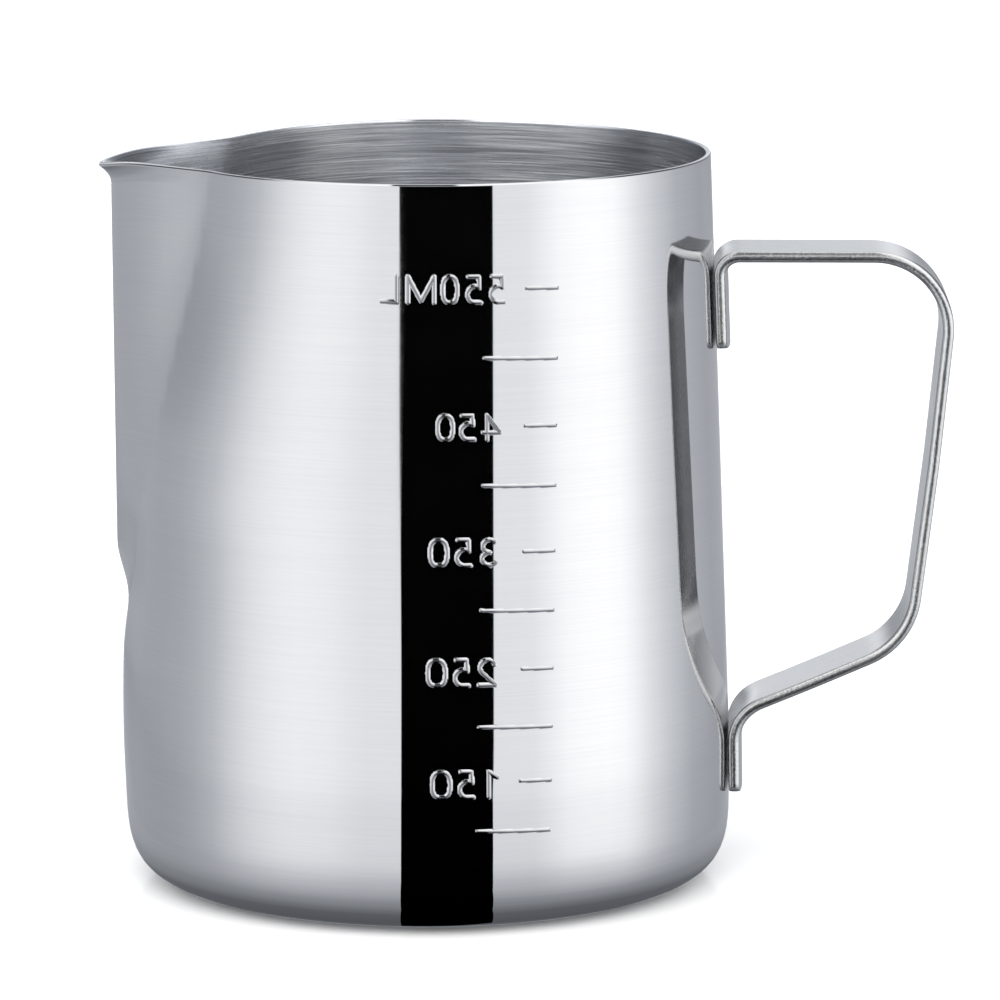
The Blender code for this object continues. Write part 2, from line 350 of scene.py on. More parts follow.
def painted_shade_material():
    """A black sheet, thinned: painted shade for the floor's contact shadow as the steel mirrors it. It is
    thickest at the jug's foot and gone further out, so the steel darkens softly towards its base."""
    material = bpy.data.materials.new("painted floor shade, thinned")
    node = empty_tree(material)
    flat = node("VectorMath:MULTIPLY", node("TexCoord").outputs["Object"], (1, 1, 0))
    away = node("VectorMath:LENGTH", flat).outputs["Value"]
    past = node("Math:MAXIMUM", node("Math:SUBTRACT", away, FOOT_RADIUS), 0.0)
    fall = node("Math:DIVIDE", SHADE_SHEET_OPACITY, node("Math:ADD", 1.0, node("Math:DIVIDE", past, SHADE_SHEET_REACH)))
    left = node("Math:MAXIMUM", node("Math:SUBTRACT", 1.0, node("Math:DIVIDE", past, SHADE_SHEET_END)), 0.0)
    black = node("Emission", Color=(0, 0, 0, 1), Strength=0.0)
    thick = node("Math:MULTIPLY", fall, left)
    node("OutputMaterial", Surface=node("MixShader", thick, node("BsdfTransparent"), black))
    return material


# --- The body's skin. The angle runs from the spout, 0, to the handle, pi. A place along the section runs
# from the middle of the base, 0, over the foot of the rounded corner, 1, and its top, 2, to the rim, 3.


class Skin:
    """The outer skin of the body as formulas, for the sizes on the panel."""

    def __init__(self, sizes):
        self.radius, self.height, self.sheet = sizes.radius, sizes.height, sizes.sheet
        self.draft, self.corner = sizes.draft, sizes.corner
        self.root_low, self.root_high = ROOT_LOW * self.height, ROOT_HIGH * self.height

    def taper(self, level):
        """How far the wall leans in at this level."""

        def run(at):
            past = at - DRAFT_LEVEL * self.height
            return (np.hypot(past, DRAFT_SOFTNESS * self.height) + past) / 2

        return self.draft * (run(level) - run(self.corner)) / (run(self.height) - run(self.corner))

    def wall_radius(self, level):
        """The wall without its spout."""
        rise = 1 - np.clip(level, 0, self.corner) / self.corner
        rounded = self.radius - self.corner * (1 - (1 - rise**CORNER_SQUARENESS) ** (1 / CORNER_SQUARENESS))
        wall = self.radius - self.taper(np.maximum(level, self.corner))
        return np.where(level >= self.corner, wall, rounded)

    def rim_height(self, angle):
        dip = RIM_DIP * np.maximum(0.0, np.cos(angle)) ** 2
        return self.height - dip - TIP_DIP * np.exp(-((angle / TIP_ANGLE) ** 2))

    def skin_radius(self, level, angle):
        """The wall with its spout, the swelling under the root and the lip that turns out."""
        wall, turned = self.wall_radius(level), np.abs(angle)
        draw = FLANK_DRAW * between(level, DRAW_LEVEL * self.height, self.height)
        radius = wall - draw * smooth((DRAW_ANGLE - turned) / DRAW_FADE)
        up = np.maximum(0.0, (level - self.root_low) / (self.height - self.root_low))
        half_angle = ROOT_HALF_ANGLE + (SPOUT_HALF_ANGLE - ROOT_HALF_ANGLE) * up**SPOUT_WIDENING
        aside = np.hypot(turned / half_angle, NOSE_SOFTNESS) - NOSE_SOFTNESS
        full = math.hypot(1, NOSE_SOFTNESS) - NOSE_SOFTNESS
        ridge = self.radius + SPOUT_REACH - RIDGE_LEAN * (1 - up)
        reach = (ridge - wall) * between(level, self.root_low, self.root_high)
        radius = radius + (reach + draw) * np.maximum(0.0, 1 - aside / full) ** FLANK_HOLLOW
        top, end = SWELL_LEVEL * self.height, SWELL_END * self.height
        swell = smooth(level / top) * (1 - between(level, top, end))
        radius = radius + ROOT_SWELL * swell * smooth(1 - turned / SWELL_ANGLE)
        left = np.clip((self.rim_height(angle) - level) / LIP_DEPTH, 0.0, 1.0)
        return radius + LIP_FLARE * (1 - left) ** 2 * np.exp(-((angle / LIP_ANGLE) ** 2))

    def point(self, place, angle):
        """Points of the outer skin, without the stamped marks."""
        share = np.clip(place - 1, 0, 1)
        share = share**CORNER_CROWDING / (share**CORNER_CROWDING + (1 - share) ** CORNER_CROWDING)
        in_corner = self.corner * (1 - np.cos(share * math.pi / 2) ** (2 / CORNER_SQUARENESS))
        in_wall = self.corner + (self.rim_height(angle) - RIM_EDGE - self.corner) * (place - 2)
        level = np.where(place < 2, in_corner, in_wall)
        radius = self.skin_radius(level, angle)
        flat = self.radius - self.corner
        radius = np.where(place < 1, flat * place, radius)
        level = np.where(place < 1, 0.0, level)
        return np.stack([-radius * np.cos(angle), radius * np.sin(angle), level], axis=-1)

    def directions(self, place, angle):
        """Unit vectors round the jug, up the section and out of the skin."""
        low = np.where(place < 1, 0.0, np.where(place < 2, 1.0, 2.0))
        step = 1e-4
        below, above = np.maximum(place - step, low), np.minimum(place + step, low + 1)
        up = self.point(above, angle) - self.point(below, angle)
        around = self.point(place, angle + step) - self.point(place, angle - step)
        up /= np.linalg.norm(up, axis=-1, keepdims=True)
        around /= np.linalg.norm(around, axis=-1, keepdims=True)
        out = np.cross(up, around)
        out /= np.linalg.norm(out, axis=-1, keepdims=True)
        return around, up, out


# --- The stamped scale, in millimetres round the wall from the front of the jug and up from the base


def arc(x, y, wide, high, first, last, steps=14):
    """Part of an ellipse about x, y between two angles in degrees."""
    turns = np.radians(np.linspace(first, last, steps + 1))
    return [(x + wide * math.cos(t), y + high * math.sin(t)) for t in turns]


def oval(wide, high, square=2.7, steps=36):
    """A closed ring, squarer than an ellipse."""

    def pushed_out(part):
        return 1 + math.copysign(abs(part) ** (2 / square), part)

    turns = np.linspace(0, 2 * math.pi, steps + 1)
    return [(wide / 2 * pushed_out(math.cos(t)), high / 2 * pushed_out(math.sin(t))) for t in turns]


def glyphs(top, zero):
    """Width and strokes of each character, read from left to right."""
    flag = [(1.8, top), (0.3, top), (0.22, 2.1)]
    return {
        "0": (zero, [oval(zero, top)]),
        "1": (1.3, [[(1.3, 0), (1.3, top), (0, top - 0.85)]]),
        "2": (2.4, [arc(1.15, top - 1.1, 1.1, 1.1, 160, -38) + [(0, 0), (2.4, 0)]]),
        "3": (2.05, [arc(0.9, top - 0.9, 1.0, 0.9, 140, -90), arc(0.9, 0.93, 1.15, 0.93, 90, -145)]),
        "4": (2.55, [[(1.95, 0), (1.95, top), (0, 0.95), (2.55, 0.95)]]),
        "5": (2.0, [flag + arc(0.83, 1.14, 1.17, 1.14, 121, -90) + [(0, 0)]]),
        "M": (3.9, [[(0, 0), (0, top), (1.95, 0.2), (3.9, top), (3.9, 0)]]),
        "L": (2.3, [[(0, top), (0, 0), (2.3, 0)]]),
    }


def scale_strokes():
    """Every stroke of the scale as segments x0, y0, x1, y1, half width and height of its bead. The scale is
    stamped from the inside, so it reads the right way round in there and mirrored on the outer wall."""
    made = []

    def add(points, half, high):
        for (x0, y0), (x1, y1) in zip(points[:-1], points[1:]):
            made.append((x0, y0, x1, y1, half, high))

    for k, height in enumerate(MARK_HEIGHTS):
        up = (height - MARK_HEIGHTS[0]) / (MARK_HEIGHTS[-1] - MARK_HEIGHTS[0])
        shortest, more = SHORT_MARK if k % 2 else LONG_MARK
        right = MARK_END[0] + MARK_END[1] * up
        left = right - (shortest + more * up)
        ends = (left + END_INSET, right - END_INSET)
        add([(x, height + MARK_RISE - MARK_SLOPE * (x - MARK_PIVOT)) for x in ends], *MARK_BEAD)
        if k % 2:
            text = str(100 + 50 * k) + ("ML" if k == 9 else "")
            pen, above, share, zero, gaps = TEXT_LINES[k]
            top = GLYPH_HEIGHT * share
            shapes = glyphs(top, zero)
            for character, gap in zip(text, gaps + (0,)):
                width, strokes = shapes[character]
                for stroke in strokes:
                    mirrored = [(pen - x, height + above + y - top / 2) for x, y in stroke]
                    add([(x, y - TEXT_SLOPE * (x - TEXT_PIVOT)) for x, y in mirrored], *TEXT_BEAD)
                pen -= width + gap
    return np.array(made)


def bead_height(x, y, strokes):
    """How high the stamped beads stand at these places, all in millimetres."""
    high = np.zeros_like(x)
    foot = math.hypot(1, BEAD_ROUND)
    for x0, y0, x1, y1, half, top in strokes:
        near = np.abs(x - (x0 + x1) / 2) < abs(x1 - x0) / 2 + half
        near &= np.abs(y - (y0 + y1) / 2) < abs(y1 - y0) / 2 + half
        if not near.any():
            continue
        px, py = x[near], y[near]
        dx, dy = x1 - x0, y1 - y0
        share = np.clip(((px - x0) * dx + (py - y0) * dy) / (dx * dx + dy * dy), 0, 1)
        away = np.hypot(px - x0 - share * dx, py - y0 - share * dy)
        off = np.minimum(away / half, 1)
        bead = top * (foot - np.hypot(off, BEAD_ROUND)) / (foot - BEAD_ROUND)
        high[near] = np.maximum(high[near], bead)
    return high


# --- The body as one closed shell


def body_rows():
    """Rows of the shell as (place along the section, share of the sheet's depth, turn over the rim)."""
    base = [0.1, 0.25, 0.4, 0.55, 0.7, 0.8, 0.9, 0.96, 1.0]
    corner = [1 + k / 18 for k in range(1, 19)]
    wall = [2 + k / 80 for k in range(1, 76)]
    lip = [wall[-1] + (3 - wall[-1]) * k / 12 for k in range(1, 13)]
    section = base + corner + wall + lip
    outside = [(place, 0.0, 0.0) for place in section]
    over = [(3.0, 0.0, turn) for turn in (15, 30, 45, 60, 75, 90)]
    back = [(3.0, 1.0, turn) for turn in (90, 105, 120, 135, 150, 165, 180)]
    inside = [(place, 1.0, 180.0) for place in reversed(section[:-1])]
    return outside + over + back + inside


def body_columns():
    """Angles from the handle round to the handle again, closest together on the spout's ridge."""
    ridge = list(np.arange(-16.2, 16.3, 0.9))
    rest = list(np.linspace(16.2, 180, 87)[1:])
    return np.radians([-a for a in reversed(rest)] + ridge + rest)


def shell_point(skin, strokes, row, angle, rows):
    """Point, normal, and how far a bead stands up, 0 to 1, for spots given by a row number, whole or not,
    and an angle."""
    whole = np.arange(len(rows))
    place = np.interp(row, whole, [r[0] for r in rows])
    depth = np.interp(row, whole, [r[1] for r in rows])
    turn = np.radians(np.interp(row, whole, [r[2] for r in rows]))
    base = skin.point(place, angle)
    around, up, out = skin.directions(place, angle)
    stamped = (place > 2) & (place < 3)
    x = (-np.pi / 2 - angle) * skin.radius / MM
    y = base[..., 2] / MM
    high = np.zeros_like(x)
    lean_x, lean_y = np.zeros_like(x), np.zeros_like(x)
    if stamped.any():
        sx, sy, step = x[stamped], y[stamped], 0.01
        high[stamped] = bead_height(sx, sy, strokes)
        right, left = bead_height(sx + step, sy, strokes), bead_height(sx - step, sy, strokes)
        above, below = bead_height(sx, sy + step, strokes), bead_height(sx, sy - step, strokes)
        lean_x[stamped] = (right - left) / (2 * step)
        lean_y[stamped] = (above - below) / (2 * step)
    edge = RIM_EDGE
    depth_m = np.where(turn <= np.pi / 2, edge * (1 - np.cos(turn)), skin.sheet - edge * (1 + np.cos(turn)))
    depth_m = np.where(turn == 0, depth * skin.sheet, depth_m)
    lift = edge * np.sin(turn)
    point = base + out * (high * MM - depth_m)[..., None] + up * lift[..., None]
    tilted = out + around * lean_x[..., None] - up * lean_y[..., None]
    tilted /= np.linalg.norm(tilted, axis=-1, keepdims=True)
    cosine, sine = np.cos(turn)[..., None], np.sin(turn)[..., None]
    normal = np.where(np.abs(sine) > 1e-6, out * cosine + up * sine, tilted * np.sign(cosine))
    return point, normal, high / TEXT_BEAD[1]


def section_lengths(skin, rows):
    """Distance along the section from the middle of the base to each row."""
    angle = np.full(len(rows), -np.pi / 2)
    line, _, _ = shell_point(skin, np.zeros((0, 6)), np.arange(len(rows)), angle, rows)
    start = np.hypot(line[0, 0], line[0, 1])
    return start + np.concatenate([[0], np.cumsum(np.linalg.norm(np.diff(line, axis=0), axis=1))])


def marked_cells(skin, strokes, rows, columns):
    """Cells of the wall that a bead passes through, with the step they are cut at, finest outside."""
    marked = {}
    middle = (columns[:-1] + columns[1:]) / 2
    x = (-np.pi / 2 - middle) * skin.radius / MM
    across = np.flatnonzero((x > SCALE_LEFT) & (x < SCALE_RIGHT))
    for i in range(len(rows) - 1):
        (place, depth, turn), (above, _, over) = rows[i], rows[i + 1]
        if min(place, above) < 2 or turn != over or abs(above - place) > 0.02:
            continue
        y = skin.point(np.array([(place + above) / 2]), np.array([-np.pi / 2]))[0, 2] / MM
        grown = strokes.copy()
        grown[:, 4] += CUT_MARGIN
        hit = bead_height(x[across], np.full(len(across), y), grown) > 0
        for j in across[hit]:
            marked[i, int(j)] = 1 if depth == 0 else 2
    return marked


def shell_faces(marked, last_row, last_column):
    """Faces of the shell as rings of (row, column), counted in cut cells. A cell beside a marked one takes
    over its cuts, so that no seam opens."""
    faces = []

    def side(start, finish, step):
        """Spots from start up to, but not with, finish."""
        if not step:
            return [start]
        count = SPLIT // step
        di, dj = (finish[0] - start[0]) // count, (finish[1] - start[1]) // count
        return [(start[0] + di * k, start[1] + dj * k) for k in range(count)]

    for i in range(last_row):
        for j in range(last_column):
            step = marked.get((i, j))
            low, high, near, far = i * SPLIT, (i + 1) * SPLIT, j * SPLIT, (j + 1) * SPLIT
            if step:
                for fi in range(low, high, step):
                    for fj in range(near, far, step):
                        faces.append([(fi, fj), (fi + step, fj), (fi + step, fj + step), (fi, fj + step)])
                continue
            face = side((low, near), (high, near), marked.get((i, j - 1)))
            face += side((high, near), (high, far), marked.get((i + 1, j)))
            face += side((high, far), (low, far), marked.get((i, j + 1)))
            face += side((low, far), (low, near), marked.get((i - 1, j)))
            faces.append(face)
    return faces


def numbered(faces, turns):
    """The shell's vertices as (row, column), their numbers, and every face as numbers. The last column is
    the first."""
    number, keys, corners = {}, [], []
    for face in faces:
        ids = []
        for fi, fj in face:
            key = (fi, fj % turns)
            if key not in number:
                number[key] = len(keys)
                keys.append(key)
            ids.append(number[key])
        corners.append(ids)
    return number, keys, corners


def build_shell(skin):
    rows, columns = body_rows(), body_columns()
    strokes = scale_strokes()
    last_row, last_column = len(rows) - 1, len(columns) - 1
    turns, top = last_column * SPLIT, last_row * SPLIT
    faces = shell_faces(marked_cells(skin, strokes, rows, columns), last_row, last_column)
    number, keys, corners = numbered(faces, turns)
    row = np.array([key[0] for key in keys]) / SPLIT
    whole = np.arange(len(columns))
    angle = np.interp(np.array([key[1] for key in keys]) / SPLIT, whole, columns)
    points, normals, stamped = shell_point(skin, strokes, row, angle, rows)

    # A fan of triangles closes the base, underneath and inside. Its middle has no row.
    points = list(map(tuple, points)) + [(0, 0, 0), (0, 0, skin.sheet)]
    normals = list(map(tuple, normals)) + [(0, 0, -1), (0, 0, 1)]
    outer_pole, inner_pole = len(keys), len(keys) + 1
    for j in range(last_column):
        a, b = j * SPLIT, (j + 1) * SPLIT
        corners.append([outer_pole, number[0, a], number[0, b % turns]])
        faces.append([(None, (a + b) / 2), (0, a), (0, b)])
        corners.append([number[top, a], inner_pole, number[top, b % turns]])
        faces.append([(top, a), (None, (a + b) / 2), (top, b)])
    mesh = bpy.data.meshes.new("jug_body")
    mesh.from_pydata(points, [], corners)

    # The map: round the jug in u, along the section in v
    flat = [spot for face in faces for spot in face]
    up = np.array([-1.0 if spot[0] is None else spot[0] / SPLIT for spot in flat])
    round_ = np.interp(np.array([spot[1] for spot in flat]) / SPLIT, whole, columns)
    v = np.where(up < 0, 0.0, np.interp(up, np.arange(len(rows)), section_lengths(skin, rows)))
    layer = mesh.uv_layers.new(name="UVMap")
    layer.data.foreach_set("uv", np.stack([-round_ * skin.radius, v], axis=-1).astype(np.float32).ravel())

    layer = mesh.attributes.new("stamped", "FLOAT", "POINT")
    layer.data.foreach_set("value", np.concatenate([stamped, [0, 0]]).astype(np.float32))
    first_inside = SPLIT * next(k for k, (_, _, turn) in enumerate(rows) if turn > 90)
    lowest = [min(spot[0] for spot in face if spot[0] is not None) for face in faces]
    mesh.polygons.foreach_set("material_index", np.array([int(row >= first_inside) for row in lowest]))
    mesh.polygons.foreach_set("use_smooth", np.ones(len(corners), bool))
    mesh.normals_split_custom_set_from_vertices(normals)
    mesh.update()
    return mesh


# --- The handle


def strap_path(body, strap):
    """Middle line of the strap from its upper end, over the arm, down the grip and back to its lower end."""
    height, radius, reach, thick = body.height, body.radius, strap.reach, strap.thickness
    off = strap.gap + thick / 2
    wall = Skin(body)

    def on_wall(level):
        """The strap's middle where it lies on the wall at this level."""
        return (float(wall.wall_radius(np.array(level))) + off, level)

    corners = [
        on_wall(UPPER_TAB_END * height),
        on_wall(ARM_LEVEL * height),
        (radius + reach, ARM_LEVEL * height),
        (radius + KNEE_OUT * reach, KNEE_LEVEL * height),
        (radius + LOWER_CORNER_OUT * reach, LOWER_CORNER_LEVEL * height),
        on_wall(LOWER_BEND_LEVEL * height),
        on_wall(LOWER_TAB_END * body.corner),
    ]
    corners = [Vector((x, 0, z)) for x, z in corners]
    bends = (1.05 * thick + 0.0010, 0.333 * reach, 1.8 * reach, 0.350 * reach, 1.05 * thick + 0.0045)
    return spaced(bent(corners, bends))


def bent(corners, bends):
    """The line through these corners with each one rounded to its radius."""
    points = [corners[0]]
    for before, corner, after, radius in zip(corners[:-2], corners[1:-1], corners[2:], bends):
        back, on = (before - corner).normalized(), (after - corner).normalized()
        half = back.angle(on) / 2
        centre = corner + (back + on).normalized() * (radius / math.sin(half))
        start = corner + back * (radius / math.tan(half)) - centre
        finish = corner + on * (radius / math.tan(half)) - centre
        turned = start.angle(finish)
        steps = max(8, round(math.degrees(turned) / 3))
        for k in range(steps + 1):
            share = k / steps
            arm = start * math.sin((1 - share) * turned) + finish * math.sin(share * turned)
            points.append(centre + arm / math.sin(turned))
    points.append(corners[-1])
    return points


def spaced(points):
    """The same line with points along its straight runs: every 2 mm, every 0.3 mm on the tabs, and closest at
    their ends, which are rounded."""
    close = [0.00004, 0.00012, 0.00025, 0.0004, 0.0006, 0.0008, 0.0010]
    made = [points[0]]
    for k, (first, second) in enumerate(zip(points[:-1], points[1:])):
        length = (second - first).length
        if k in (0, len(points) - 2):
            spots = [s for s in close + list(np.arange(0.00125, length, 0.0003)) if s < length - 0.0001]
            if k:
                spots = [length - s for s in reversed(spots)]
            made += [first.lerp(second, s / length) for s in spots]
        else:
            steps = max(1, math.ceil(length / 0.002))
            made += [first.lerp(second, s / steps) for s in range(1, steps)]
        made.append(second)
    return made


def strap_tree(material):
    """Sweeps a rounded strip along the path, curls it round the wall at both tabs, rounds the tab ends and
    presses the two weld dents into the outer faces."""
    tree = bpy.data.node_groups.new("strap along a path", "GeometryNodeTree")
    tree.interface.new_socket("Geometry", in_out="INPUT", socket_type="NodeSocketGeometry")
    for name, value in STRAP_INPUTS:
        socket = tree.interface.new_socket(name, in_out="INPUT", socket_type="NodeSocketFloat")
        socket.default_value = value
    tree.interface.new_socket("Geometry", in_out="OUTPUT", socket_type="NodeSocketGeometry")
    node = partial(add_node, tree)
    given = node("NodeGroupInput").outputs

    # The path, which keeps for every point how far along it lies, how long it all is and where its middle is
    line = node("GeometryNodeMeshToCurve", Mesh=given["Geometry"])
    line = node("GeometryNodeSetCurveNormal", settings={"mode": "FREE"}, Curve=line, Normal=(0, 1, 0))
    for name, kind, value in (
        ("run", "FLOAT", node("GeometryNodeSplineParameter").outputs["Length"]),
        ("whole", "FLOAT", node("GeometryNodeSplineLength").outputs["Length"]),
        ("middle", "FLOAT_VECTOR", node("GeometryNodeInputPosition")),
    ):
        line = node(
            "GeometryNodeStoreNamedAttribute",
            settings={"data_type": kind, "domain": "POINT"},
            Geometry=line,
            Name=name,
            Value=value,
        )
    edge = node("GeometryNodeCurvePrimitiveQuadrilateral", Width=given["Width"], Height=given["Thickness"])
    rounding = {"Curve": edge, "Radius": given["Edge Rounding"], "Count": 7}
    edge = node("GeometryNodeFilletCurve", settings={"mode": "POLY"}, **rounding)
    edge = node("GeometryNodeResampleCurve", settings={"mode": "COUNT"}, Curve=edge, Count=132)
    swept = node("GeometryNodeCurveToMesh", Curve=line, Profile_Curve=edge, Fill_Caps=True)

    scalar, vector = {"data_type": "FLOAT"}, {"data_type": "FLOAT_VECTOR"}
    run = node("GeometryNodeInputNamedAttribute", settings=scalar, Name="run")
    whole = node("GeometryNodeInputNamedAttribute", settings=scalar, Name="whole")
    centre = node("GeometryNodeInputNamedAttribute", settings=vector, Name="middle")
    middle = node("SeparateXYZ", centre).outputs
    spot = node("SeparateXYZ", node("GeometryNodeInputPosition")).outputs
    near_end = node("Math:MINIMUM", run, node("Math:SUBTRACT", whole, run))

    def shrunk(radius, half):
        """How much of its size the strip keeps this close to its end, rounded by a quarter circle."""
        short = node("Math:MAXIMUM", node("Math:SUBTRACT", radius, near_end), 0.0)
        square, gone = node("Math:MULTIPLY", radius, radius), node("Math:MULTIPLY", short, short)
        lost = node("Math:SUBTRACT", radius, node("Math:SQRT", node("Math:SUBTRACT", square, gone)))
        return node("Math:SUBTRACT", 1.0, node("Math:DIVIDE", lost, half))

    narrow = shrunk(given["Tab Corner"], node("Math:MULTIPLY", given["Width"], 0.5))
    thin = shrunk(given["End Rounding"], node("Math:MULTIPLY", given["Thickness"], 0.5))
    across = node("Math:MULTIPLY", spot[1], narrow)
    out_x = node("Math:MULTIPLY", node("Math:SUBTRACT", spot[0], middle[0]), thin)
    out_z = node("Math:MULTIPLY", node("Math:SUBTRACT", spot[2], middle[2]), thin)
    aside = node("Math:MULTIPLY", across, across)

    # The curl: on the tabs the strip's middle line follows a circle round the jug's axis
    eased = {"interpolation_type": "SMOOTHSTEP"}
    fade = node("MapRange", near_end, given["Curl Start"], given["Curl End"], 1.0, 0.0, settings=eased)
    reach = node("Math:MULTIPLY", middle[0], middle[0])
    chord = node("Math:SQRT", node("Math:SUBTRACT", reach, aside))
    curl = node("Math:MULTIPLY", fade, node("Math:SUBTRACT", middle[0], chord))

    def dent(level):
        """Depth of the weld dent whose middle is at this level."""
        up = node("Math:POWER", node("Math:SUBTRACT", spot[2], level), 2.0)
        away = node("Math:SQRT", node("Math:ADD", aside, up))
        share = node("Math:DIVIDE", away, given["Weld Radius"])
        left = node("Math:SUBTRACT", 1.0, node("Math:MULTIPLY", share, share))
        bowl = node("Math:POWER", node("Math:MAXIMUM", left, 0.0), 1.3)
        return node("Math:MULTIPLY", bowl, given["Weld Depth"])

    outer = node("Math:GREATER_THAN", out_x, 0.0002)
    on_tab = node("Math:GREATER_THAN", fade, 0.999)
    dents = node("Math:MAXIMUM", dent(given["Weld Upper"]), dent(given["Weld Lower"]))
    pressed = node("Math:MULTIPLY", node("Math:MULTIPLY", outer, on_tab), dents)
    x = node("Math:SUBTRACT", node("Math:ADD", middle[0], out_x), node("Math:ADD", curl, pressed))
    place = node("CombineXYZ", x, across, node("Math:ADD", middle[2], out_z))
    made = node(
        "GeometryNodeStoreNamedAttribute",
        settings={"data_type": "FLOAT", "domain": "POINT"},
        Geometry=swept,
        Name="side",
        Value=spot[1],
    )
    made = node("GeometryNodeSetPosition", Geometry=made, Position=place)
    made = node("GeometryNodeSetShadeSmooth", Geometry=made)
    made = node("GeometryNodeRealizeInstances", Geometry=made)
    made = node("GeometryNodeSetMaterial", Geometry=made, Material=material)
    node("NodeGroupOutput", Geometry=made)
    return tree


def made_plain(obj, name):
    """The evaluated object as a plain mesh object of its own."""
    bpy.context.view_layer.update()
    graph = bpy.context.evaluated_depsgraph_get()
    mesh = bpy.data.meshes.new_from_object(obj.evaluated_get(graph))
    bpy.data.objects.remove(obj)
    mesh.name = name
    return add_object(name, mesh)


# --- Settings


def size(name, description, default):
    """A length on the panel."""
    return bpy.props.FloatProperty(
        name=name, description=description, default=default, min=0.0, unit="LENGTH", precision=5
    )


def colour(name, description, code):
    """A colour on the panel, given in sRGB hex."""
    return bpy.props.FloatVectorProperty(
        name=name, description=description, default=rgb(code), size=4, min=0.0, max=1.0, subtype="COLOR"
    )


class JugBodySettings(bpy.types.PropertyGroup):
    radius: size("Radius", "The widest part of the wall", 0.0450)
    height: size("Height", "Base to rim, on the handle side", 0.1085)
    sheet: size("Sheet", "Thickness of the drawn sheet", 0.0008)
    draft: size("Rim draft", "How far the wall leans in by the rim", 0.00325)
    corner: size("Corner", "Width and height of the rounded bottom corner", 0.0132)
    outside: colour("Outside", "Brightest brush lines of the outside", "CDCDCD")
    # The inside's top grey is painted light for the inside of the jug; the spread down to its dull grey is
    # the coarse brushing
    inside: colour("Inside", "Brightest brush lines of the inside", "FAFCFF")


class JugHandleSettings(bpy.types.PropertyGroup):
    width: size("Width", "Width of the strap", 0.0144)
    thickness: size("Thickness", "Thickness of the strap", 0.0017)
    edge: size("Edge rounding", "Rounding of the strap's long edges", 0.0007)
    reach: size("Reach", "From the widest part of the wall out to the strap's far corner", 0.0328)
    gap: size("Gap", "Clearance between the tabs and the wall", 0.0003)
    steel: colour("Steel", "Brightest patches of the strap", "CDCDCC")


class JugStudioSettings(bpy.types.PropertyGroup):
    turn: bpy.props.FloatProperty(
        name="Turn",
        description="Where the viewer stands, round from the front",
        default=math.radians(1.8),
        subtype="ANGLE",
    )
    rise: bpy.props.FloatProperty(
        name="Rise", description="How far the viewer looks down", default=math.radians(10.0), subtype="ANGLE"
    )
    steel: bpy.props.FloatProperty(
        name="Steel", description="How much light the steel gives back", default=0.59, subtype="FACTOR"
    )
    wash: bpy.props.FloatProperty(
        name="Wash", description="Strength of the light on all but the steel", default=3.5
    )


# --- Operators


class OBJECT_OT_jug_body(bpy.types.Operator):
    """Build the drawn steel body with its spout and stamped scale"""

    bl_idname = "object.jug_body"
    bl_label = "Body"

    def execute(self, context):
        body = context.scene.jug_body
        mesh = build_shell(Skin(body))
        # Roughness, anisotropy, depth of the brush lines, how much the roughness varies
        fine = (0.034, 0.9, 0.0003 * MM, 0.006)
        coarse = (0.25, 0.93, 0.02 * MM, 0.05)
        outside = brushed_steel("stainless sheet, fine brushed", *fine, rgb("C9C9CB"), body.outside)
        # Painted light: the inside's greys reach far brighter than the outside's, standing in for light
        # inside the jug
        inside = brushed_steel("stainless sheet, coarse brushed, painted light", *coarse, rgb("B4B6BA"), body.inside)
        mesh.materials.append(outside)
        mesh.materials.append(inside)
        obj = add_object("jug_body_skin", mesh)
        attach(obj, "root")
        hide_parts("jug_body")
        return {"FINISHED"}


class OBJECT_OT_jug_handle(bpy.types.Operator):
    """Build the bent strap handle"""

    bl_idname = "object.jug_handle"
    bl_label = "Handle"

    def execute(self, context):
        body, strap = context.scene.jug_body, context.scene.jug_handle
        path = strap_path(body, strap)
        line = bpy.data.meshes.new("strap path")
        line.from_pydata([tuple(p) for p in path], [(k, k + 1) for k in range(len(path) - 1)], [])
        obj = add_object("strap path", line)
        tree = strap_tree(strap_steel(strap.steel))
        sweep = obj.modifiers.new("Strap", "NODES")
        sweep.node_group = tree
        tab = (ARM_LEVEL - UPPER_TAB_END) * body.height
        values = {
            "Width": strap.width,
            "Thickness": strap.thickness,
            "Edge Rounding": strap.edge,
            "Curl Start": tab + CURL_START,
            "Curl End": tab + CURL_END,
        }
        for item in tree.interface.items_tree:
            if item.item_type == "SOCKET" and item.in_out == "INPUT" and item.name in values:
                sweep[item.identifier] = values[item.name]
        obj = made_plain(obj, "handle_strap")
        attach(obj, "root")
        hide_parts("handle")
        return {"FINISHED"}


